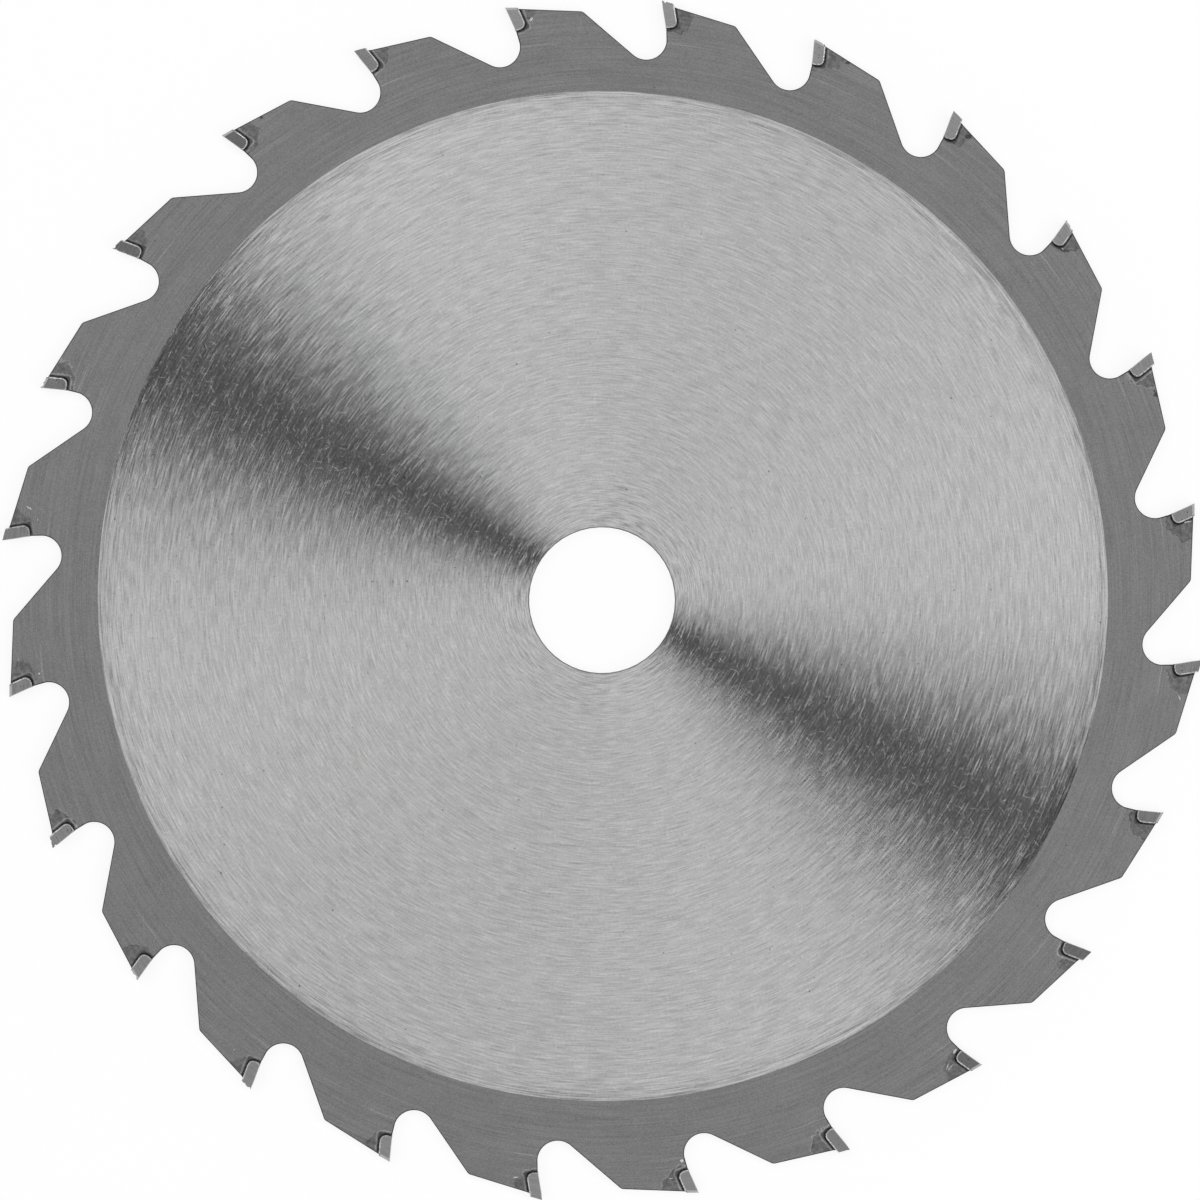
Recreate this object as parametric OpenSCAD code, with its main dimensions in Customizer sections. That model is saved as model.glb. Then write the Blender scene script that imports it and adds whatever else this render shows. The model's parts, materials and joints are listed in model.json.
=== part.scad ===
// Circular saw blade with brazed carbide tips.
// It lies flat: the bore's axis is Z and the plate's middle plane is at z = 0.
// One tooth is drawn with its point on the X axis and its cutting face towards +Y.
// A seat frame at the point has X down along the cutting face and Y back into the tooth.

/* [Blade] */
// Diameter over the points of the teeth
blade_d = 165; // [155:0.5:190]
// Number of teeth, even so that the top bevels alternate all the way round
tooth_count = 24; // [20:2:28]
// Angle from the X axis to the first point
first_tooth_angle = 9.3; // [0:0.1:15]

/* [Plate] */
// Thickness of the steel plate at the ground disc
plate_t = 1.6; // [1.2:0.05:1.8]
// Diameter of the arbor bore
bore_d = 20; // [10:0.5:30]
// Width of the matt rim between the gullets' floors and the ground disc
rim_w = 5.1; // [3:0.1:20]
// Height of the ground disc above the matt rim, on each side
rim_drop = 0.02; // [0.01:0.005:0.08]
// Shift of the ground disc along X from the bore's axis
disc_shift_x = 0.12; // [-1:0.02:1]
// Shift of the ground disc along Y from the bore's axis
disc_shift_y = 0.56; // [-1:0.02:1]

/* [Gullets] */
// Radius of a gullet's floor
gullet_r = 2.77; // [2:0.01:3.4]
// Depth of a gullet's floor below the tip's seat
gullet_drop = 4.5; // [4:0.1:6]
// Backward lean of the steel below the cutting face
throat_angle = 7; // [2:0.5:12]

/* [Tooth backs] */
// Drop of the tooth's back below the point
back_drop = 0.35; // [0.2:0.05:0.6]
// Slope of the tooth's back
back_angle = 11.5; // [6:0.5:16]
// Length of the tooth's back behind the point
back_l = 10.4; // [8:0.1:12]
// Radius at the heel, where the back turns down to the next gullet
heel_r = 0.9; // [0.3:0.1:2]

/* [Carbide tips] */
// Width of the cut, which is the width of a tip at its cutting edge
kerf = 2.4; // [2.2:0.05:3]
// Length of a tip down its cutting face
tip_l = 3.7; // [3:0.1:5]
// Thickness of a tip behind its cutting face
tip_t = 1.4; // [1.1:0.05:2]
// Radius of a tip's lower back corner
tip_corner_r = 0.65; // [0.2:0.05:0.85]
// Radius of a tip's lower front corner
tip_front_r = 0.35; // [0.1:0.05:0.6]
// Forward lean of the cutting face
hook_angle = 15; // [5:0.5:22]
// Clearance angle behind the top cutting edge
top_clearance = 9; // [5:0.5:14]
// Sideways slope of the top edge, which alternates from tooth to tooth
bevel_angle = 15; // [5:0.5:20]
// Narrowing of a tip towards the blade's centre, on each side
radial_clearance = 1.5; // [0.5:0.25:2]
// Narrowing of a tip towards its back, on each side
side_clearance = 2.5; // [1:0.25:3.5]

/* [Braze] */
// Thickness of the braze behind and below a tip
braze_t = 0.15; // [0.1:0.01:0.25]
// Width of the braze fillet on the plate's face
fillet_w = 0.3; // [0.15:0.01:0.5]
// Height of the braze fillet above the plate's face
fillet_h = 0.2; // [0.1:0.01:0.3]

/* [Hidden] */
$fn = 96;

point_r = blade_d / 2;
pitch = 360 / tooth_count;
rim_t = plate_t - 2 * rim_drop;
seat_l = tip_l + braze_t;
seat_t = tip_t + braze_t;
seat_corner_r = tip_corner_r + braze_t;

// Centres of a tip's rounded lower corners, in the seat frame
back_corner_c = [tip_l - tip_corner_r, tip_t - tip_corner_r];
front_corner_c = [tip_l - tip_front_r, tip_front_r];

// Extra radius with which an arc of the plate's outline crosses the straight lines beside it
arc_overlap = 0.004;

// Reach of the blocks that stand for ground-away half spaces, past the whole tip
reach = 2 * (seat_l + seat_t + kerf);

function numbered(name, i) = str(name, i < 9 ? "_0" : "_", i + 1);
TEETH = [0 : tooth_count - 1];

function unit(v) = v / norm(v);
function direction(angle) = [cos(angle), sin(angle)];
function turned(p, angle) = [p.x * cos(angle) - p.y * sin(angle), p.x * sin(angle) + p.y * cos(angle)];

// Angle from the X axis to the point of tooth number i
function tooth_angle(i) = first_tooth_angle + i * pitch;

// A point given in the seat frame
function seat_point(x, y) = [point_r, 0] + turned([x, y], 180 + hook_angle);

// Way from p along the unit vector u to the circle of radius r about the bore's axis
function way_to_radius(p, u, r) = -(p * u) - sqrt((p * u) * (p * u) - p * p + r * r);

// Where the line from p touches the circle of radius r at c, on its left side seen from c
function touch_point(p, c, r) = c + r * direction(atan2(p.y - c.y, p.x - c.x) + acos(r / norm(p - c)));

// The steel runs down from the seat's front edge and touches the gullet's floor circle
seat_front = seat_point(seat_l, 0);
gullet_floor_r = norm(seat_front) - gullet_drop;
throat_way = direction(180 + throat_angle);
throat_ahead = direction(90 + throat_angle);
throat_l = way_to_radius(seat_front + gullet_r * throat_ahead, throat_way, gullet_floor_r + gullet_r);
throat_end = seat_front + throat_l * throat_way;
gullet_c = throat_end + gullet_r * throat_ahead;

// The back slopes down from below the point to the heel, then runs on to the next gullet
back_start = [point_r - back_drop, 0];
back_way = direction(270 - back_angle);
heel = back_start + back_l / cos(back_angle) * back_way;
slope_end = touch_point(heel, turned(gullet_c, -pitch), gullet_r);
slope_way = unit(slope_end - heel);
heel_turn = acos(back_way * slope_way);
heel_trim = heel_r * tan(heel_turn / 2);
heel_c = heel + heel_r / cos(heel_turn / 2) * unit(slope_way - back_way);

disc_r = gullet_floor_r - rim_w;

// Straight-sided outline of one tooth before its seat is cut, from the gullet behind it to the one ahead
TOOTH_OUTLINE = [
    slope_end,
    heel + heel_trim * slope_way,
    heel - heel_trim * back_way,
    back_start,
    seat_front - seat_t * throat_way,
    throat_end
];

// Puts its children at tooth number i
module at_tooth(i) {
    rotate(tooth_angle(i)) children();
}

// Puts its children in the seat frame of the tooth on the X axis
module in_seat_frame() {
    translate([point_r, 0]) rotate(180 + hook_angle) children();
}

// Outline of the plate with its gullets, rounded heels and tip seats
module plate_outline() {
    difference() {
        union() {
            polygon([for (i = TEETH) each [for (p = TOOTH_OUTLINE) turned(p, tooth_angle(i))]]);
            for (i = TEETH) at_tooth(i) translate(heel_c) circle(heel_r + arc_overlap);
        }
        for (i = TEETH) at_tooth(i) {
            translate(gullet_c) circle(gullet_r + arc_overlap);
            in_seat_frame() seat_outline();
        }
        circle(d = bore_d);
    }
}

// What is cut off a square corner to round it, with the round's centre at the origin
module corner_waste(r) {
    difference() {
        square(2 * r);
        circle(r);
    }
}

// Outline of a tip in the seat frame, open at the top and grown on its other sides
module tip_outline(grown) {
    difference() {
        translate([-seat_l, -grown]) square([seat_l + tip_l + grown, tip_t + 2 * grown]);
        translate(back_corner_c) corner_waste(tip_corner_r + grown);
        translate(front_corner_c) mirror([0, 1]) corner_waste(tip_front_r + grown);
    }
}

// Outline of the cut that makes a seat in the plate, open at the top and the front
module seat_outline() {
    difference() {
        translate([-seat_l, -seat_t]) square([2 * seat_l, 2 * seat_t]);
        translate(back_corner_c) corner_waste(seat_corner_r);
    }
}

// Outline of the braze in the seat frame: a layer round the tip that stops at the cutting face
module braze_outline() {
    difference() {
        tip_outline(braze_t);
        tip_outline(0);
        translate([-seat_l, -tip_t]) square([2 * seat_l, tip_t]);
    }
}

// Half spaces that grinding takes off a tip: above its bevelled top and beyond its two sides
module ground_away(high_side) {
    translate([point_r, 0, high_side * kerf / 2])
        rotate([0, high_side * bevel_angle, -top_clearance])
            translate([0, -reach, -reach]) cube([reach, 2 * reach, 2 * reach]);
    for (face = [0, 1]) mirror([0, 0, face])
        translate([point_r, 0, kerf / 2])
            rotate([side_clearance, -radial_clearance, 0])
                translate([-reach, -reach, 0]) cube([2 * reach, 2 * reach, reach]);
}

// Half space beyond the tooth's back
module beyond_back() {
    translate(back_start) rotate(-back_angle)
        translate([0, -reach, -reach]) cube([reach, 2 * reach, 2 * reach]);
}

// Section of the braze fillet, standing on the plate's face beside the seat
module fillet_section() {
    polygon([[0, 0], [fillet_w, 0], [0, fillet_h]]);
}

// Fillet of braze on one face of the plate, down the seat's back, round its corner and along its foot
module fillet_run() {
    translate([0, 0, rim_t / 2]) in_seat_frame() {
        translate([0, seat_t, 0]) rotate([90, 0, 90])
            linear_extrude(back_corner_c.x) fillet_section();
        translate(back_corner_c) rotate_extrude(angle = 90)
            translate([seat_corner_r, 0]) fillet_section();
        translate([seat_l, back_corner_c.y, 0]) rotate([90, 0, 0])
            linear_extrude(back_corner_c.y - front_corner_c.y) fillet_section();
    }
}

// Side of the blade on which tooth number i has its high corner
function high_side(i) = i % 2 == 1 ? 1 : -1;

module blade_body() {
    color([0.6, 0.6, 0.6]) union() {
        linear_extrude(rim_t, center = true) plate_outline();
        difference() {
            translate([disc_shift_x, disc_shift_y, 0]) cylinder(r = disc_r, h = plate_t, center = true);
            cylinder(d = bore_d, h = 2 * plate_t, center = true);
        }
    }
}

module carbide_tip(i) {
    color([0.5, 0.5, 0.5]) at_tooth(i) difference() {
        linear_extrude(kerf, center = true) in_seat_frame() tip_outline(0);
        ground_away(high_side(i));
    }
}

module braze(i) {
    color([0.72, 0.71, 0.68]) at_tooth(i) difference() {
        union() {
            linear_extrude(kerf, center = true) in_seat_frame() braze_outline();
            difference() {
                for (face = [0, 1]) mirror([0, 0, face]) fillet_run();
                beyond_back();
            }
        }
        ground_away(high_side(i));
    }
}

blade_body();
for (i = TEETH) {
    carbide_tip(i);
    braze(i);
}
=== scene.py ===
import json
import math
import random

import bmesh
import bpy
from mathutils import Euler, Matrix, Vector


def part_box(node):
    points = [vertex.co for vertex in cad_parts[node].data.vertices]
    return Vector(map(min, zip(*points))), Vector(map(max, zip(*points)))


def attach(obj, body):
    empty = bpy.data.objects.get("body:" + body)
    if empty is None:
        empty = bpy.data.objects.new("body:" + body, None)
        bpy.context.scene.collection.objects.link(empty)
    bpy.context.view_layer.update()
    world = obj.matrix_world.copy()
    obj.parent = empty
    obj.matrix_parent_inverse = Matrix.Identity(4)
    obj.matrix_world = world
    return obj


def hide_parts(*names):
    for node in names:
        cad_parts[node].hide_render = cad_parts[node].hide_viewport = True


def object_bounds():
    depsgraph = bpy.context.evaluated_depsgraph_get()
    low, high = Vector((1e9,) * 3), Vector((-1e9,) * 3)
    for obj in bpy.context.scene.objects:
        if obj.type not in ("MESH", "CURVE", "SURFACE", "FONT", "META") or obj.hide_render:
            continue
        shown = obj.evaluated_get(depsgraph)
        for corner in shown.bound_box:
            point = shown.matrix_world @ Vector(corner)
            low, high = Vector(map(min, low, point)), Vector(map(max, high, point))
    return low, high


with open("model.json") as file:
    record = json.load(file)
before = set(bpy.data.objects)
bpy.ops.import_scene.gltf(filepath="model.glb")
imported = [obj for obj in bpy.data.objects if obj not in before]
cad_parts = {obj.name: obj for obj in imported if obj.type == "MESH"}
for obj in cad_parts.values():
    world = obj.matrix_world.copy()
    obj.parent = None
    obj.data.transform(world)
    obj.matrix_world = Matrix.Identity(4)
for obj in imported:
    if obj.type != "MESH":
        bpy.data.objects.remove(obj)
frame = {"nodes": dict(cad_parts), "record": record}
cad_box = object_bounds()

# Lengths below are in millimetres and angles in degrees, unless a name or comment says otherwise
MM = 0.001


def far_point(node):
    """The point of a node that lies furthest from the bore's axis."""
    return max((v.co for v in frame["nodes"][node].data.vertices), key=lambda co: co.xy.length)


def disc_edge():
    """Centre and radius of the ground disc, from the points of its upper edge."""
    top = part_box("blade_body")[1].z
    edge = [v.co.xy for v in frame["nodes"]["blade_body"].data.vertices
            if v.co.z > top - 0.001 * MM and v.co.xy.length > 2 * BORE_R * MM]
    low = Vector(min(p[axis] for p in edge) for axis in (0, 1))
    high = Vector(max(p[axis] for p in edge) for axis in (0, 1))
    return (low + high) / 2 / MM, (high - low).x / 2 / MM


# The blade's own sizes, read from the frame
TIPS = sorted(name for name in frame["nodes"] if name.startswith("carbide_tip"))
BRAZES = sorted(name for name in frame["nodes"] if name.startswith("braze"))
PITCH = 360 / len(TIPS)
FIRST_POINT = far_point(TIPS[0])
POINT_R = FIRST_POINT.xy.length / MM
FIRST_TOOTH_ANGLE = math.degrees(math.atan2(FIRST_POINT.y, FIRST_POINT.x))
BORE_R = next(m for m in frame["record"]["mounts"] if m["name"] == "arbor_bore")["dims"]["r_mm"]
DISC_C, DISC_R = disc_edge()
PLATE_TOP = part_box("blade_body")[1].z / MM
KERF = 2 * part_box(TIPS[0])[1].z / MM
FLOOR_Z = cad_box[0].z / MM

# Smaller sizes of the blade, as its solids have them
RIM_DROP = 0.02
RIM_TOP = PLATE_TOP - RIM_DROP
HOOK_ANGLE = 15
TOP_CLEARANCE = 9
SIDE_CLEARANCE = 2.5
SEAT_L = 3.85
SEAT_T = 1.55
LAND_ANGLE = 11.5
LAND_DROP = 0.35

# The floor, and the view
FLOOR_W = 12000
IMAGE_PX = 1200
MM_PER_PX = 0.136952
BORE_PX = (602.0, 600.2)
CAMERA_H = 620
SENSOR_W = 36

# The two soft panels overhead, with a dark gap between them: each one's inner edge, outer edge and brightness
GAP_ANGLE = 151.5
PANEL_H = 800
PANEL_L = 2200
PANEL_SHIFT = -250
PANELS = {"near": (95, 390, 1.9), "far": (-80, -412, 1.47)}

# Width of the plate's eased edges, and of the livelier band round the disc's edge
EASED_W = 0.12
EDGE_BAND_W = 2.4

# How far single grinding streaks lie askew, and how far those on the tips lean from the true circle
ASKEW = 6
TIP_LEAN = 30

# How far the points of a chip or drop lie from its middle, as shares of its half size
LUMP_SHARES = (0.85, 1.1)

# Chips in the carbide, by tooth from 0: the edge they lie on, how far along it from the point, and radius
CHIPS = {
    2: [("top", 0.35, 0.2), ("top", 1.2, 0.26)],
    4: [("top", 0.0, 0.32), ("top", 1.35, 0.2)],
    5: [("top", 0.42, 0.22)],
    7: [("front", 0.9, 0.09), ("front", 1.9, 0.1), ("front", 2.6, 0.08)],
    9: [("top", 0.3, 0.24), ("front", 0.5, 0.16), ("front", 1.6, 0.12)],
    10: [("top", 0.5, 0.34), ("top", 1.1, 0.18)],
    13: [("front", 0.5, 0.2), ("top", 0.9, 0.15)],
    14: [("top", 0.6, 0.34)],
    15: [("top", 0.25, 0.24), ("top", 1.0, 0.15)],
    18: [("front", 0.3, 0.15), ("front", 1.1, 0.1)],
}

# Small nicks that every tip has along its cutting edges: how many, how far along the edge, and radius
NICKS = 4
NICK_PLACES = (0.1, 1.3)
NICK_RADII = (0.04, 0.09)

# Dark nicks by the edge of the lands, by tooth from 0: how far behind the point, below the land, and radius
LAND_NICKS = {1: (5.7, 0.3, 0.36), 3: (4.0, 0.45, 0.36), 4: (5.7, 0.15, 0.28), 8: (6.0, 0.15, 0.22)}

# Half the height of the drops of braze
DROP_HALF_H = 0.1

# Drops of braze on the plate, by tooth from 0: down and back from the point, length, width and slant
DROPS = [
    (0, 2.3, 1.82, 1.5, 0.2, -90),
    (2, 3.8, 1.8, 0.3, 0.25, 0),
    (6, 3.2, 2.5, 0.8, 0.4, 45),
    (11, 5.2, 2.0, 0.25, 0.2, 0),
    (11, 4.3, 3.8, 0.9, 0.3, 60),
    (12, 5.3, 1.2, 0.3, 0.25, 0),
    (12, 3.5, 4.1, 0.25, 0.2, 0),
    (15, 4.3, 4.0, 0.25, 0.2, 0),
    (17, 3.6, 3.1, 0.7, 0.18, 10),
    (18, 5.2, 0.3, 0.6, 0.5, 0),
    (18, 3.6, 2.6, 0.6, 0.15, 0),
    (20, 4.4, 0.6, 0.9, 0.35, 20),
    (20, 3.6, 2.8, 1.2, 0.16, 10),
    (20, 4.0, 2.9, 1.0, 0.16, 30),
    (23, 3.8, 4.6, 0.7, 0.18, 25),
]


class Nodes:
    """A shader node tree, with short calls that add a node and give back what it puts out."""

    def __init__(self, tree):
        self.tree = tree

    def feed(self, socket, value):
        if isinstance(value, bpy.types.NodeSocket):
            self.tree.links.new(value, socket)
        else:
            socket.default_value = value

    def add(self, kind, values=None, **settings):
        made = self.tree.nodes.new(kind)
        for name, setting in settings.items():
            setattr(made, name, setting)
        for name, value in (values or {}).items():
            self.feed(made.inputs[name], value)
        return made

    def math(self, operation, *values):
        made = self.add("ShaderNodeMath", dict(enumerate(values)), operation=operation)
        return made.outputs[0]

    def vector(self, operation, *values):
        made = self.add("ShaderNodeVectorMath", dict(enumerate(values)), operation=operation)
        return made.outputs["Value" if operation in ("LENGTH", "DOT_PRODUCT") else "Vector"]

    def scaled(self, vector, factor):
        made = self.add("ShaderNodeVectorMath", {0: vector, "Scale": factor}, operation="SCALE")
        return made.outputs["Vector"]

    def combine(self, x, y, z):
        return self.add("ShaderNodeCombineXYZ", {"X": x, "Y": y, "Z": z}).outputs[0]

    def split(self, vector):
        return self.add("ShaderNodeSeparateXYZ", {0: vector}).outputs

    def noise(self, place, scale=1.0, detail=2.0, roughness=0.5):
        values = {"Vector": place, "Scale": scale, "Detail": detail, "Roughness": roughness}
        return self.add("ShaderNodeTexNoise", values).outputs[0]

    def remap(self, value, low, high, new_low=0.0, new_high=1.0, steps="LINEAR"):
        made = self.add("ShaderNodeMapRange", dict(enumerate((value, low, high, new_low, new_high))),
                        interpolation_type=steps)
        return made.outputs[0]

    def mix(self, factor, a, b):
        return self.add("ShaderNodeMix", {0: factor, 2: a, 3: b}, data_type="FLOAT").outputs[0]

    def facing_up(self):
        """How squarely a face lies up or down: 1 for flat and 0 for upright."""
        normal = self.add("ShaderNodeNewGeometry").outputs["True Normal"]
        return self.math("ABSOLUTE", self.split(normal)[2])

    def swing(self, value, amount, middle):
        """A value from 0 to 1 turned into a swing of that amount about a middle."""
        return self.math("MULTIPLY_ADD", self.math("SUBTRACT", value, 0.5), amount, middle)

    def grey(self, value):
        return self.add("ShaderNodeCombineColor", {0: value, 1: value, 2: value}).outputs[0]

    def place(self):
        """Where a point lies on the blade, in millimetres."""
        return self.scaled(self.add("ShaderNodeTexCoord").outputs["Object"], 1 / MM)

    def flat_place(self):
        """Where a point lies on the blade, in millimetres, without its height."""
        return self.vector("MULTIPLY", self.place(), (1, 1, 0))

    def from_disc_centre(self):
        """Where a point lies from the middle of the ground disc, in millimetres, without its height."""
        return self.vector("SUBTRACT", self.flat_place(), (DISC_C.x, DISC_C.y, 0))

    def side_seed(self, shift, seed):
        """A seed that differs between the blade's two sides."""
        height = self.split(self.place())[2]
        return self.math("MULTIPLY_ADD", self.math("SIGN", height), shift, seed)

    def group(self, tree, **values):
        made = self.add("ShaderNodeGroup", node_tree=tree)
        for name, value in values.items():
            self.feed(made.inputs[name.replace("_", " ").capitalize()], value)
        return made.outputs


def flat_direction(angle):
    return Vector((math.cos(math.radians(angle)), math.sin(math.radians(angle)), 0))


def tooth_angle(tooth):
    return FIRST_TOOTH_ANGLE + tooth * PITCH


def seat_point(tooth, down, back, height):
    """A point given from a tooth's point: down its cutting face, back into the tooth, and a height."""
    outward = flat_direction(tooth_angle(tooth))
    face_way = flat_direction(tooth_angle(tooth) + 180 + HOOK_ANGLE)
    back_way = flat_direction(tooth_angle(tooth) - 90 + HOOK_ANGLE)
    return outward * POINT_R + face_way * down + back_way * back + Vector((0, 0, height))


def land_point(tooth, along, below):
    """A point by a tooth's land, from how far it lies behind the tooth's point and below the land."""
    land_way = flat_direction(tooth_angle(tooth) - 90 - LAND_ANGLE)
    inward = flat_direction(tooth_angle(tooth) + 180 - LAND_ANGLE)
    return flat_direction(tooth_angle(tooth)) * (POINT_R - LAND_DROP) + land_way * along + inward * below


def new_group(name, inputs, outputs):
    """A shader node group with number inputs, each at its usual value, and number outputs."""
    tree = bpy.data.node_groups.new(name, "ShaderNodeTree")
    for label, usual in inputs.items():
        tree.interface.new_socket(label, in_out="INPUT", socket_type="NodeSocketFloat").default_value = usual
    for label in outputs:
        tree.interface.new_socket(label, in_out="OUTPUT", socket_type="NodeSocketFloat")
    nodes = Nodes(tree)
    return nodes, nodes.add("NodeGroupInput").outputs, nodes.add("NodeGroupOutput").inputs


def streak_noise(nodes, length, width, wander, seed):
    """Noise drawn out along circles near the disc's centre: its length at the disc's edge and its width.
    The circles' own centre lies off the disc's by the wander, in a direction that the seed gives."""
    x, y, _ = nodes.split(nodes.from_disc_centre())
    side = nodes.side_seed(31.7, seed)
    off_x = nodes.math("MULTIPLY_ADD", nodes.math("SINE", side), wander, x)
    off_y = nodes.math("MULTIPLY_ADD", nodes.math("COSINE", side), wander, y)
    flat = nodes.combine(off_x, off_y, 0)
    radius = nodes.vector("LENGTH", flat)
    reach = nodes.math("MULTIPLY", nodes.remap(radius, 0, DISC_R, 0.6, 1), length)
    turn = nodes.scaled(flat, nodes.math("DIVIDE", 1, reach))
    across = nodes.combine(side, side, nodes.math("ADD", nodes.math("DIVIDE", radius, width), side))
    return nodes.noise(nodes.vector("ADD", turn, across), detail=0)


def concentric_streaks():
    """Grinding streaks that run round the disc's centre."""
    usual = {"Length": 4, "Width": 0.2, "Wander": 0.5, "Seed": 0}
    nodes, given, out = new_group("concentric streaks", usual, ["Streak"])
    streak = streak_noise(nodes, given["Length"], given["Width"], given["Wander"], given["Seed"])
    nodes.feed(out["Streak"], streak)
    return nodes.tree


def random_cells(nodes, cell, side):
    """Cells strewn over a face: a point's place in units of their size, the cells, and three draws each."""
    spot = nodes.vector("ADD", nodes.flat_place(), nodes.combine(side, side, 0))
    spot = nodes.scaled(spot, nodes.math("DIVIDE", 1, cell))
    cells = nodes.add("ShaderNodeTexVoronoi", {"Vector": spot, "Scale": 1.0}, voronoi_dimensions="2D").outputs
    return spot, cells, nodes.add("ShaderNodeSeparateColor", {0: cells["Color"]}).outputs


def stray_scratches():
    """Short straight scratches that lie any way over a face: cell size, width and share of cells with one."""
    usual = {"Cell": 4, "Width": 0.1, "Share": 0.5, "Seed": 0}
    nodes, given, out = new_group("stray scratches", usual, ["Scratch"])
    side = nodes.side_seed(23.1, given["Seed"])
    spot, cells, (red, green, blue) = random_cells(nodes, given["Cell"], side)
    from_middle = nodes.scaled(nodes.vector("SUBTRACT", spot, cells["Position"]), given["Cell"])
    angle = nodes.math("MULTIPLY", red, math.tau)
    sine, cosine = nodes.math("SINE", angle), nodes.math("COSINE", angle)
    run = nodes.vector("DOT_PRODUCT", from_middle, nodes.combine(cosine, sine, 0))
    off = nodes.vector("DOT_PRODUCT", from_middle, nodes.combine(nodes.math("MULTIPLY", sine, -1), cosine, 0))
    half_l = nodes.math("MULTIPLY", given["Cell"], nodes.remap(green, 0, 1, 0.12, 0.4))
    within = nodes.remap(nodes.math("DIVIDE", nodes.math("ABSOLUTE", run), half_l), 0.7, 1, 1, 0)
    line = nodes.remap(nodes.math("DIVIDE", nodes.math("ABSOLUTE", off), given["Width"]), 0.3, 0.7, 1, 0)
    chosen = nodes.math("LESS_THAN", blue, given["Share"])
    nodes.feed(out["Scratch"], nodes.math("MULTIPLY", nodes.math("MULTIPLY", line, within), chosen))
    return nodes.tree


def sparse_pits():
    """Small round pits or specks on a face: cell size, largest radius and share of cells with one."""
    usual = {"Cell": 2, "Radius": 0.12, "Share": 0.3, "Seed": 0}
    nodes, given, out = new_group("sparse pits", usual, ["Pit"])
    side = nodes.side_seed(17.3, given["Seed"])
    _, cells, (red, green, _) = random_cells(nodes, given["Cell"], side)
    distance = nodes.math("MULTIPLY", cells["Distance"], given["Cell"])
    radius = nodes.math("MULTIPLY", given["Radius"], nodes.remap(green, 0, 1, 0.4, 1))
    near = nodes.remap(nodes.math("DIVIDE", distance, radius), 0.6, 1, 1, 0)
    chosen = nodes.math("LESS_THAN", red, given["Share"])
    nodes.feed(out["Pit"], nodes.math("MULTIPLY", near, chosen))
    return nodes.tree


def tooth_place():
    """Where a point lies on its tooth, from the tooth's point: down its cutting face and back into it.
    Each tooth also has two draws."""
    nodes, _, out = new_group("tooth place", {}, ["Down", "Back", "Draw", "Other draw"])
    flat = nodes.flat_place()
    x, y, _ = nodes.split(flat)
    radius = nodes.vector("LENGTH", flat)
    pitch = math.radians(PITCH)
    # A tooth takes in this share of the pitch behind its point, and the rest ahead of it
    behind = 0.87
    turn = nodes.math("SUBTRACT", nodes.math("ARCTAN2", y, x), math.radians(FIRST_TOOTH_ANGLE))
    tooth = nodes.math("FLOOR", nodes.math("MULTIPLY_ADD", turn, 1 / pitch, behind))
    local = nodes.math("MULTIPLY_ADD", tooth, -pitch, turn)
    out_x = nodes.math("SUBTRACT", nodes.math("MULTIPLY", radius, nodes.math("COSINE", local)), POINT_R)
    out_y = nodes.math("MULTIPLY", radius, nodes.math("SINE", local))
    along = nodes.combine(out_x, out_y, 0)
    hook = math.radians(HOOK_ANGLE)
    nodes.feed(out["Down"], nodes.vector("DOT_PRODUCT", along, (-math.cos(hook), -math.sin(hook), 0)))
    nodes.feed(out["Back"], nodes.vector("DOT_PRODUCT", along, (math.sin(hook), -math.cos(hook), 0)))
    for label, offset in (("Draw", 0.5), ("Other draw", 60.5)):
        key = nodes.math("ADD", tooth, nodes.side_seed(200, offset))
        draw = nodes.add("ShaderNodeTexWhiteNoise", {"W": key}, noise_dimensions="1D")
        nodes.feed(out[label], draw.outputs["Value"])
    return nodes.tree


STREAKS = concentric_streaks()
SCRATCHES = stray_scratches()
PITS = sparse_pits()
TOOTH_PLACE = tooth_place()


def new_material(name):
    material = bpy.data.materials.new(name)
    material.use_nodes = True
    material.node_tree.nodes.clear()
    nodes = Nodes(material.node_tree)
    shader = nodes.add("ShaderNodeBsdfPrincipled")
    nodes.add("ShaderNodeOutputMaterial", {"Surface": shader.outputs[0]})
    return material, nodes, shader


def streak_frame(nodes, lean=0):
    """Unit directions across and along the grinding streaks, turned by a lean from the true circle."""
    outward = nodes.vector("NORMALIZE", nodes.from_disc_centre())
    around = nodes.vector("CROSS_PRODUCT", (0, 0, 1), outward)
    sine, cosine = math.sin(math.radians(lean)), math.cos(math.radians(lean))
    across = nodes.vector("ADD", nodes.scaled(outward, cosine), nodes.scaled(around, sine))
    along = nodes.vector("ADD", nodes.scaled(outward, -sine), nodes.scaled(around, cosine))
    return across, along


def tilted_normal(nodes, direction, tilt):
    """The surface normal, tilted along a direction."""
    normal = nodes.add("ShaderNodeNewGeometry").outputs["Normal"]
    return nodes.vector("NORMALIZE", nodes.vector("ADD", normal, nodes.scaled(direction, tilt)))


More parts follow.
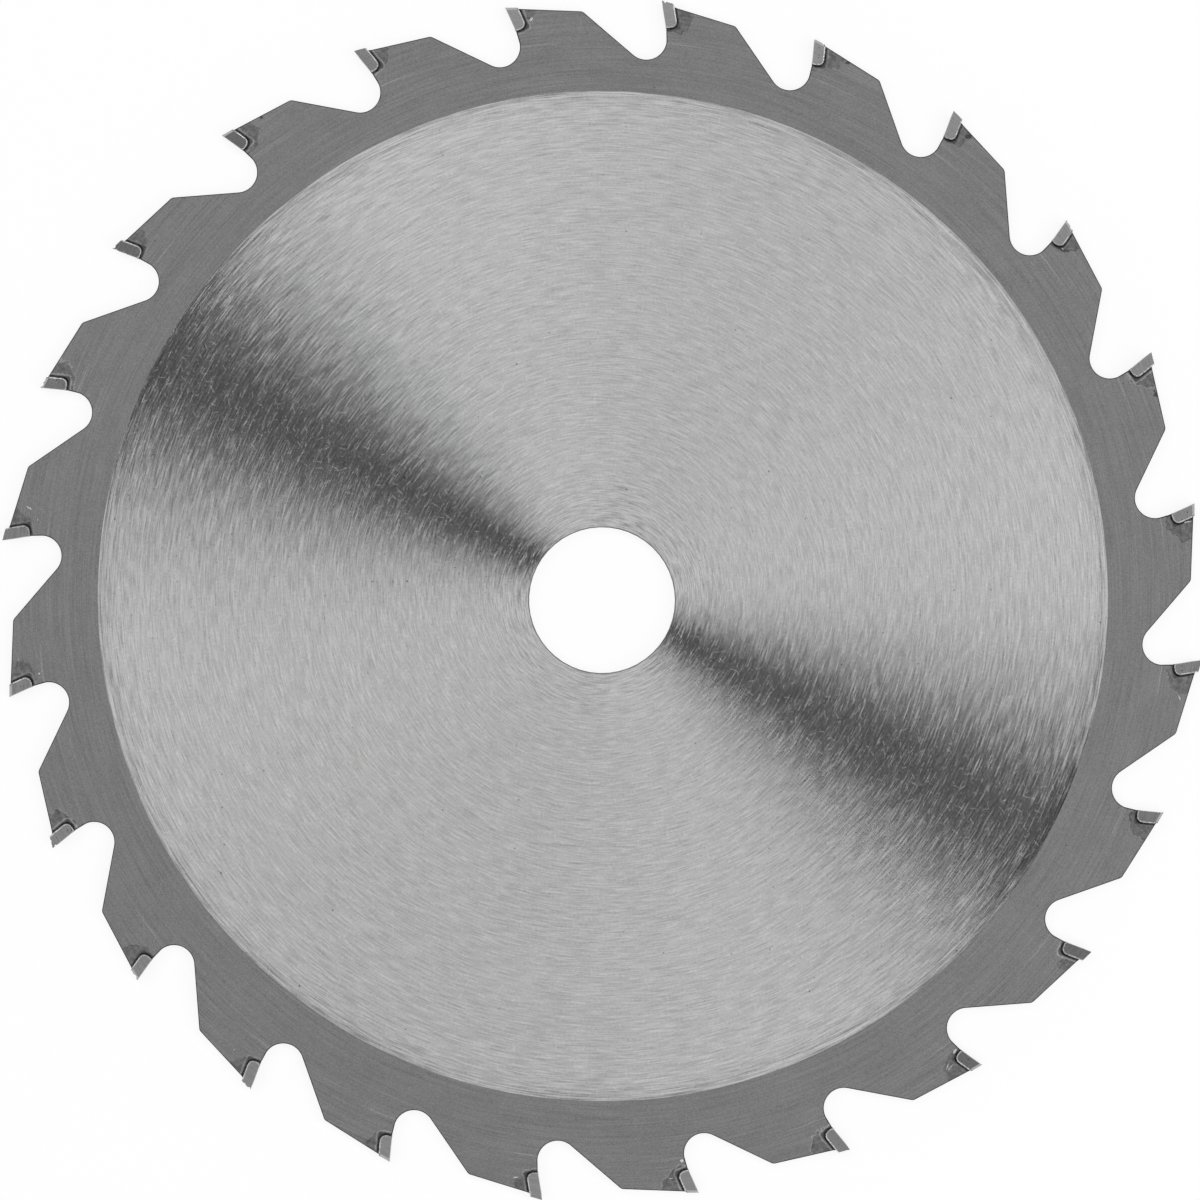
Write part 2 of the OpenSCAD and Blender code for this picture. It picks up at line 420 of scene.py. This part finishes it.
def ground_disc_steel():
    """The ground disc: bright steel with streaks round its centre that spread light across them."""
    material, nodes, shader = new_material("ground_disc_steel")
    radius = nodes.vector("LENGTH", nodes.from_disc_centre())
    from_edge = nodes.math("SUBTRACT", DISC_R, radius)
    band = nodes.remap(from_edge, EDGE_BAND_W * 0.2, EDGE_BAND_W, 1, 0)
    by_bore = nodes.remap(radius, BORE_R + 1.5, BORE_R + 7, 2.1, 1)
    lively = nodes.math("MAXIMUM", by_bore, nodes.remap(from_edge, EDGE_BAND_W, 10, 1.4, 1))
    fine = nodes.group(STREAKS, length=2.8, width=0.14, wander=0, seed=3)[0]
    crossing = nodes.group(STREAKS, length=2.4, width=0.14, wander=4, seed=53)[0]
    long = nodes.group(STREAKS, length=12, width=0.16, wander=0, seed=29)[0]
    ridges = streak_noise(nodes, length=3, width=0.15, wander=2, seed=83)
    grain = nodes.noise(nodes.place(), scale=2.6, detail=1, roughness=0.7)
    pits = nodes.group(PITS, cell=5, radius=0.17, share=0.2, seed=5)[0]
    tone = nodes.swing(fine, nodes.math("MULTIPLY", lively, 0.28), nodes.remap(band, 0, 1, 0.52, 0.455))
    tone = nodes.swing(crossing, 0.2, tone)
    tone = nodes.swing(grain, 0.2, tone)
    tone = nodes.swing(long, nodes.math("MULTIPLY", band, 0.52), tone)
    tone = nodes.math("MULTIPLY_ADD", pits, -0.3, tone)
    specks = nodes.group(PITS, cell=0.55, radius=0.11, share=0.5, seed=19)[0]
    scratches = nodes.group(SCRATCHES, cell=1.6, width=0.13, share=0.8, seed=2)[0]
    marks = nodes.math("MAXIMUM", specks, scratches)
    tone = nodes.math("MULTIPLY_ADD", marks, 0.07, tone)
    nodes.feed(shader.inputs["Base Color"], nodes.grey(tone))

    scuffs = nodes.swing(crossing, 1.25, nodes.swing(grain, 1.1, -0.36))
    scuffs = nodes.swing(fine, nodes.math("MULTIPLY", lively, 1.7), scuffs)
    scuffs = nodes.swing(long, nodes.math("MULTIPLY", band, 0.9), scuffs)
    scatter = nodes.math("MULTIPLY_ADD", marks, 0.5, nodes.math("MAXIMUM", scuffs, 0))
    nodes.feed(shader.inputs["Metallic"], nodes.math("SUBTRACT", 1, scatter))
    nodes.feed(shader.inputs["Roughness"], nodes.swing(grain, 0.06, 0.29))
    nodes.feed(shader.inputs["Anisotropic"], 1.0)
    across, along = streak_frame(nodes)
    askew = nodes.swing(ridges, 2 * math.tan(math.radians(ASKEW)), 0)
    nodes.feed(shader.inputs["Tangent"], nodes.vector("ADD", across, nodes.scaled(along, askew)))
    nodes.feed(shader.inputs["Normal"], tilted_normal(nodes, along, nodes.swing(ridges, 0.09, 0)))
    return material


def box_distance(nodes, x, y, centre, half):
    """How far a point lies outside a box, negative inside it."""
    out_x = nodes.math("SUBTRACT", nodes.math("ABSOLUTE", nodes.math("SUBTRACT", x, centre[0])), half[0])
    out_y = nodes.math("SUBTRACT", nodes.math("ABSOLUTE", nodes.math("SUBTRACT", y, centre[1])), half[1])
    past = nodes.combine(nodes.math("MAXIMUM", out_x, 0), nodes.math("MAXIMUM", out_y, 0), 0)
    inside = nodes.math("MINIMUM", nodes.math("MAXIMUM", out_x, out_y), 0)
    return nodes.math("ADD", nodes.vector("LENGTH", past), inside)


def matt_rim_steel():
    """The rim and the teeth: darker matt steel with faint round lines, brazing stains, and soot with painted
    shade by the tips.
    """
    material, nodes, shader = new_material("matt_rim_steel")
    place = nodes.place()
    lines = nodes.group(STREAKS, length=9, width=0.16, wander=1, seed=23)[0]
    pits = nodes.group(PITS, cell=4, radius=0.14, share=0.25, seed=8)[0]
    specks = nodes.group(PITS, cell=2.2, radius=0.1, share=0.3, seed=14)[0]
    scratches = nodes.group(SCRATCHES, cell=5, width=0.14, share=0.4, seed=61)[0]
    grain = nodes.noise(place, scale=5.5, detail=2, roughness=0.7)
    cloud = nodes.noise(place, scale=0.35, detail=2)
    tone = nodes.swing(lines, 0.12, 0.28)
    tone = nodes.swing(grain, 0.36, tone)
    tone = nodes.swing(cloud, 0.04, tone)
    tone = nodes.math("MULTIPLY_ADD", pits, -0.12, tone)
    tone = nodes.math("MULTIPLY_ADD", specks, 0.07, tone)
    tone = nodes.math("MULTIPLY_ADD", scratches, 0.03, tone)

    tooth = nodes.group(TOOTH_PLACE)
    down, back, draw, other_draw = (tooth[name] for name in ("Down", "Back", "Draw", "Other draw"))
    wobble = nodes.noise(place, scale=0.7, detail=2)
    smear = nodes.noise(place, scale=1.6, detail=3)
    seat_half = (SEAT_L / 2, SEAT_T / 2)
    by_seat = box_distance(nodes, down, back, seat_half, seat_half)
    by_tip = nodes.swing(smear, 0.5, by_seat)
    # Soot and painted shade: a dark band round each tip's seat, strongest towards the tip's foot
    soot_and_shade = nodes.math("MULTIPLY", nodes.remap(by_tip, 0.2, 0.6, 0.6, 0), nodes.remap(down, 2.8, 3.6, 0.45, 1))
    flux = nodes.math("ABSOLUTE", nodes.swing(smear, 0.3, nodes.math("SUBTRACT", by_seat, 0.5)))
    flux = nodes.remap(flux, 0.05, 0.14, 1, 0)
    flux = nodes.math("MULTIPLY", flux, nodes.remap(other_draw, 0.2, 0.7, 0, 0.8))
    stain_middle = (1.7, 1.4, 0)
    from_stain = nodes.vector("LENGTH", nodes.vector("SUBTRACT", nodes.combine(down, back, 0), stain_middle))
    patch = nodes.math("SUBTRACT", nodes.swing(wobble, 2.6, from_stain), nodes.remap(draw, 0, 1, 2.2, 3.2))
    stain = nodes.math("MULTIPLY", nodes.remap(patch, 0.15, -0.25), nodes.remap(smear, 0.3, 0.7, 0.06, 0.48))
    outline = nodes.remap(nodes.math("ABSOLUTE", patch), 0.03, 0.13, 1, 0)
    outline = nodes.math("MULTIPLY", outline, nodes.swing(other_draw, 1.2, 0))

    flat = nodes.flat_place()
    ring_r = nodes.remap(draw, 0, 1, POINT_R - 6.2, POINT_R - 5.2)
    from_ring = nodes.math("SUBTRACT", nodes.vector("LENGTH", flat), ring_r)
    ring = nodes.remap(nodes.math("ABSOLUTE", nodes.swing(wobble, 0.5, from_ring)), 0.03, 0.13, 1, 0)
    ring = nodes.math("MULTIPLY", ring, nodes.remap(back, 2, 6, 0.3, 0))
    from_nick = POINT_R
    for number, (along, below, radius) in LAND_NICKS.items():
        to_nick = nodes.vector("SUBTRACT", flat, land_point(number, along, below))
        past_nick = nodes.math("SUBTRACT", nodes.vector("LENGTH", to_nick), radius)
        from_nick = nodes.math("MINIMUM", past_nick, from_nick)
    nick = nodes.remap(nodes.swing(smear, 1.8, from_nick), -0.05, 0.1, 0.65, 0)

    # Nicks, stains, and soot with painted shade darken the steel
    dirt_and_shade = nodes.math("MAXIMUM", nick, nodes.math("MAXIMUM", soot_and_shade, stain))
    tone = nodes.math("MULTIPLY", tone, nodes.math("SUBTRACT", 1, dirt_and_shade))
    light = nodes.math("ADD", flux, nodes.math("ADD", outline, ring))
    tone = nodes.math("MULTIPLY", tone, nodes.math("ADD", light, 1))
    nodes.feed(shader.inputs["Base Color"], nodes.grey(tone))
    nodes.feed(shader.inputs["Metallic"], 1.0)
    nodes.feed(shader.inputs["Roughness"], nodes.swing(grain, 0.16, 0.57))
    return material


def cut_edge_steel():
    """The walls of the cut outline and the bore: grey with fine upright cutting marks.
    The eased edge is painted darker, a painted dark line of shade, apart from the bore's."""
    material, nodes, shader = new_material("cut_edge_steel")
    marks = nodes.noise(nodes.vector("MULTIPLY", nodes.place(), (7, 7, 0.7)), detail=2)
    eased = nodes.remap(nodes.facing_up(), 0.1, 0.3)
    at_bore = nodes.remap(nodes.vector("LENGTH", nodes.flat_place()), BORE_R + 1, BORE_R + 2, 1, 0)
    # Painted shade: the eased edge is made nearly black, and lighter by the bore
    shaded_eased_tone = nodes.math("MULTIPLY_ADD", at_bore, 0.2, nodes.remap(marks, 0.25, 0.75, 0.02, 0.08))
    tone = nodes.mix(eased, nodes.remap(marks, 0.25, 0.75, 0.12, 0.26), shaded_eased_tone)
    nodes.feed(shader.inputs["Base Color"], nodes.grey(tone))
    nodes.feed(shader.inputs["Metallic"], 1.0)
    nodes.feed(shader.inputs["Roughness"], nodes.remap(marks, 0.25, 0.75, 0.5, 0.38))
    bump = nodes.add("ShaderNodeBump", {"Height": marks, "Strength": 0.5, "Distance": 0.03 * MM})
    nodes.feed(shader.inputs["Normal"], bump.outputs[0])
    return material


def ground_carbide():
    """The tips: fine dark carbide, ground square to the cutting face, with painted shade darkening their
    upright faces.
    """
    material, nodes, shader = new_material("ground_carbide")
    marks = nodes.group(STREAKS, length=2, width=0.14, wander=0, seed=41)[0]
    grain = nodes.noise(nodes.place(), scale=9, detail=2)
    pits = nodes.group(PITS, cell=0.7, radius=0.13, share=0.35, seed=77)[0]
    pitted = nodes.math("GREATER_THAN", nodes.group(TOOTH_PLACE)["Draw"], 0.7)
    tone = nodes.swing(marks, 0.1, 0.235)
    tone = nodes.swing(grain, 0.08, tone)
    tone = nodes.math("MULTIPLY_ADD", nodes.math("MULTIPLY", pits, pitted), -0.15, tone)
    # Painted shade: upright faces of the tips are made darker than the flat ones
    tone = nodes.math("MULTIPLY", tone, nodes.remap(nodes.facing_up(), 0.2, 0.9, 0.5, 1))
    nodes.feed(shader.inputs["Base Color"], nodes.grey(tone))
    nodes.feed(shader.inputs["Metallic"], 1.0)
    nodes.feed(shader.inputs["Roughness"], nodes.swing(marks, 0.04, 0.28))
    nodes.feed(shader.inputs["Anisotropic"], 0.8)
    nodes.feed(shader.inputs["Tangent"], streak_frame(nodes, lean=TIP_LEAN)[0])
    level = math.tan(math.radians(SIDE_CLEARANCE))
    ahead = streak_frame(nodes)[1]
    nodes.feed(shader.inputs["Normal"], tilted_normal(nodes, ahead, nodes.swing(marks, 0.04, level)))
    return material


def braze_metal():
    """The braze: bright where ground flush with the tip, and dark where it runs onto the plate, from flux
    stains and painted shade; painted shade also darkens it at the foot of the tip.
    """
    material, nodes, shader = new_material("braze_metal")
    flush = nodes.remap(nodes.facing_up(), 0.9, 0.98)
    mottle = nodes.noise(nodes.place(), scale=3, detail=3)
    tooth = nodes.group(TOOTH_PLACE)
    bright = nodes.remap(mottle, 0.38, 0.55, 0.34, 0.62)
    bright = nodes.math("MULTIPLY", bright, nodes.remap(tooth["Draw"], 0, 1, 0.85, 1.2))
    # Painted shade: the braze is made darker towards the foot of the tip
    shaded_foot = nodes.remap(tooth["Down"], 2.6, 3.6)
    bright = nodes.math("MULTIPLY", bright, nodes.remap(shaded_foot, 0, 1, 1, 0.75))
    # The dark tone of the slopes is partly flux and partly painted shade
    slope_flux_and_shade_tone = nodes.remap(mottle, 0.35, 0.65, 0.04, 0.15)
    shaded_foot_tone = nodes.remap(mottle, 0.35, 0.65, 0.03, 0.1)
    flux_and_shade_tone = nodes.mix(shaded_foot, slope_flux_and_shade_tone, shaded_foot_tone)
    nodes.feed(shader.inputs["Base Color"], nodes.grey(nodes.mix(flush, flux_and_shade_tone, bright)))
    nodes.feed(shader.inputs["Metallic"], 1.0)
    nodes.feed(shader.inputs["Roughness"], nodes.mix(flush, 0.5, 0.36))
    return material


def bare_braze():
    """The drops of braze on the plate: bright and a little dull in places."""
    material, nodes, shader = new_material("bare_braze")
    mottle = nodes.noise(nodes.place(), scale=3, detail=3)
    nodes.feed(shader.inputs["Base Color"], nodes.grey(nodes.remap(mottle, 0.35, 0.6, 0.55, 0.95)))
    nodes.feed(shader.inputs["Metallic"], 0.6)
    nodes.feed(shader.inputs["Roughness"], 0.45)
    return material


def new_piece(name, work, materials):
    """A piece of the blade made from a finished mesh."""
    mesh = bpy.data.meshes.new(name)
    work.to_mesh(mesh)
    work.free()
    for material in materials:
        mesh.materials.append(material)
    piece = bpy.data.objects.new(name, mesh)
    bpy.context.scene.collection.objects.link(piece)
    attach(piece, "root")
    return piece


def eased_plate(node, disc, rim, cut_edge):
    """A copy of the plate with its cut edges eased, and a finish for each kind of face."""
    work = bmesh.new()
    work.from_mesh(frame["nodes"][node].data)
    bmesh.ops.remove_doubles(work, verts=work.verts, dist=0.0001 * MM)
    bmesh.ops.dissolve_limit(work, angle_limit=math.radians(0.1), verts=work.verts, edges=work.edges)

    def is_cut_wall(face):
        heights = [v.co.z for v in face.verts]
        return max(heights) - min(heights) > PLATE_TOP * MM

    def is_flat(face):
        return abs(face.normal.z) > 0.99

    work.normal_update()
    edges = [e for e in work.edges if len(e.link_faces) == 2
             and any(is_flat(f) for f in e.link_faces) and any(is_cut_wall(f) for f in e.link_faces)]
    bmesh.ops.bevel(work, geom=edges, offset=EASED_W * MM, offset_type="OFFSET", segments=2, profile=0.5,
                    affect="EDGES", clamp_overlap=False)
    work.normal_update()
    finishes = (disc, rim, cut_edge)
    for face in work.faces:
        height = abs(face.calc_center_median().z)
        if not is_flat(face):
            finish = cut_edge
        elif height > (PLATE_TOP - RIM_DROP / 2) * MM:
            finish = disc
        else:
            finish = rim
        face.material_index = finishes.index(finish)
        face.smooth = not is_flat(face)
    plate = new_piece("plate", work, finishes)
    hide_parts(node)


def lump(work, middle, sizes, turn, draws):
    """Adds an irregular ball to a mesh: its middle, its three half sizes and its turn about the upright."""
    shape = Matrix.LocRotScale(middle * MM, Euler((0, 0, math.radians(turn))), Vector(sizes) * MM)
    for vert in bmesh.ops.create_icosphere(work, subdivisions=2, radius=1)["verts"]:
        vert.co = shape @ (vert.co * draws.uniform(*LUMP_SHARES))


def chipped_tip(tooth, material):
    """A copy of a tip with the chips of its tooth and a few small nicks along its cutting edges."""
    draws = random.Random(tooth)
    nicks = [(draws.choice(("top", "front")), draws.uniform(*NICK_PLACES), draws.uniform(*NICK_RADII))
             for _ in range(NICKS)]
    fall = math.tan(math.radians(HOOK_ANGLE + TOP_CLEARANCE))
    work = bmesh.new()
    for edge, way, radius in CHIPS.get(tooth, []) + nicks:
        down, back = (way * fall, way) if edge == "top" else (way, 0)
        lump(work, seat_point(tooth, down, back, 0), (radius, radius, KERF), 0, draws)
    cutter_mesh = bpy.data.meshes.new("chips")
    work.to_mesh(cutter_mesh)
    work.free()
    cutter = bpy.data.objects.new("chips", cutter_mesh)
    whole = bpy.data.objects.new("whole", frame["nodes"][TIPS[tooth]].data.copy())
    for made in (cutter, whole):
        bpy.context.scene.collection.objects.link(made)
    cut = whole.modifiers.new("chips", "BOOLEAN")
    cut.operation = "DIFFERENCE"
    cut.solver = "EXACT"
    cut.use_self = True
    cut.object = cutter
    work = bmesh.new()
    work.from_object(whole, bpy.context.evaluated_depsgraph_get())
    for face in work.faces:
        face.material_index = 0
        face.smooth = False
    for made in (cutter, whole):
        bpy.data.objects.remove(made)
    tip = new_piece(f"tip_{tooth + 1:02d}", work, (material,))
    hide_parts(TIPS[tooth])


def braze_drops(material):
    """Small drops and runs of braze that lie on the plate near the tips."""
    draws = random.Random(5)
    work = bmesh.new()
    for tooth, down, back, length, width, slant in DROPS:
        sizes = (length / 2, width / 2, DROP_HALF_H)
        lump(work, seat_point(tooth, down, back, RIM_TOP), sizes, tooth_angle(tooth) - 90 + slant, draws)
    new_piece("braze_drops", work, (material,))


def give_material(names, material):
    for name in names:
        for slot in frame["nodes"][name].material_slots:
            slot.material = material


def add_floor():
    """A white floor that shows the blade's shadow softly and reads as white in reflections."""
    bpy.ops.mesh.primitive_plane_add(size=FLOOR_W * MM, location=(0, 0, FLOOR_Z * MM))
    floor = bpy.context.object
    floor.name = "floor"
    material, nodes, shader = new_material("white_floor")
    light_path = nodes.add("ShaderNodeLightPath").outputs
    seen = nodes.math("MAXIMUM", light_path["Is Camera Ray"], light_path["Is Glossy Ray"])
    seen = nodes.math("MAXIMUM", seen, light_path["Is Transmission Ray"])
    plain_white = 0.9
    shadow_share = 0.25
    glow = 0.85
    nodes.feed(shader.inputs["Base Color"], nodes.grey(nodes.mix(seen, plain_white, shadow_share)))
    nodes.feed(shader.inputs["Roughness"], 1.0)
    nodes.feed(shader.inputs["Specular IOR Level"], 0.0)
    nodes.feed(shader.inputs["Emission Color"], (1, 1, 1, 1))
    nodes.feed(shader.inputs["Emission Strength"], nodes.math("MULTIPLY", seen, glow))
    floor.data.materials.append(material)


def add_panels():
    """Two soft panels overhead, one on each side of the gap."""
    for label, (inner, outer, level) in PANELS.items():
        lamp = bpy.data.lights.new(f"panel_{label}", "AREA")
        lamp.shape = "RECTANGLE"
        lamp.size = PANEL_L * MM
        lamp.size_y = abs(outer - inner) * MM
        lamp.energy = level * math.pi * lamp.size * lamp.size_y
        panel = bpy.data.objects.new(f"panel_{label}", lamp)
        across = flat_direction(GAP_ANGLE - 90) * (inner + outer) / 2
        along = flat_direction(GAP_ANGLE) * PANEL_SHIFT
        panel.location = (across + along + Vector((0, 0, PANEL_H))) * MM
        panel.rotation_euler = (0, 0, math.radians(GAP_ANGLE))
        bpy.context.scene.collection.objects.link(panel)


def add_world():
    """A pale room: white along the horizon and dark overhead."""
    world = bpy.data.worlds.new("studio")
    world.use_nodes = True
    nodes = Nodes(world.node_tree)
    world.node_tree.nodes.clear()
    height = nodes.split(nodes.add("ShaderNodeTexCoord").outputs["Generated"])[2]
    pale_below = 0.05
    dark_above = 0.45
    overhead = 0.03
    level = nodes.remap(height, pale_below, dark_above, 1, overhead, steps="SMOOTHSTEP")
    background = nodes.add("ShaderNodeBackground", {"Color": nodes.grey(level), "Strength": 1.0})
    nodes.add("ShaderNodeOutputWorld", {"Surface": background.outputs[0]})
    bpy.context.scene.world = world


def add_camera():
    """A camera straight above the blade, framed as in the photograph."""
    camera = bpy.data.objects.new("camera", bpy.data.cameras.new("camera"))
    camera.data.sensor_width = SENSOR_W
    camera.data.lens = SENSOR_W * CAMERA_H / (IMAGE_PX * MM_PER_PX)
    centre_x = (IMAGE_PX / 2 - BORE_PX[0]) * MM_PER_PX
    centre_y = (BORE_PX[1] - IMAGE_PX / 2) * MM_PER_PX
    camera.location = Vector((centre_x, centre_y, PLATE_TOP + CAMERA_H)) * MM
    bpy.context.scene.collection.objects.link(camera)
    bpy.context.scene.camera = camera


add_camera()
add_panels()
add_world()
add_floor()
eased_plate("blade_body", ground_disc_steel(), matt_rim_steel(), cut_edge_steel())
carbide = ground_carbide()
for tooth in range(len(TIPS)):
    chipped_tip(tooth, carbide)
give_material(BRAZES, braze_metal())
braze_drops(bare_braze())

bpy.context.scene.view_settings.view_transform = "Standard"
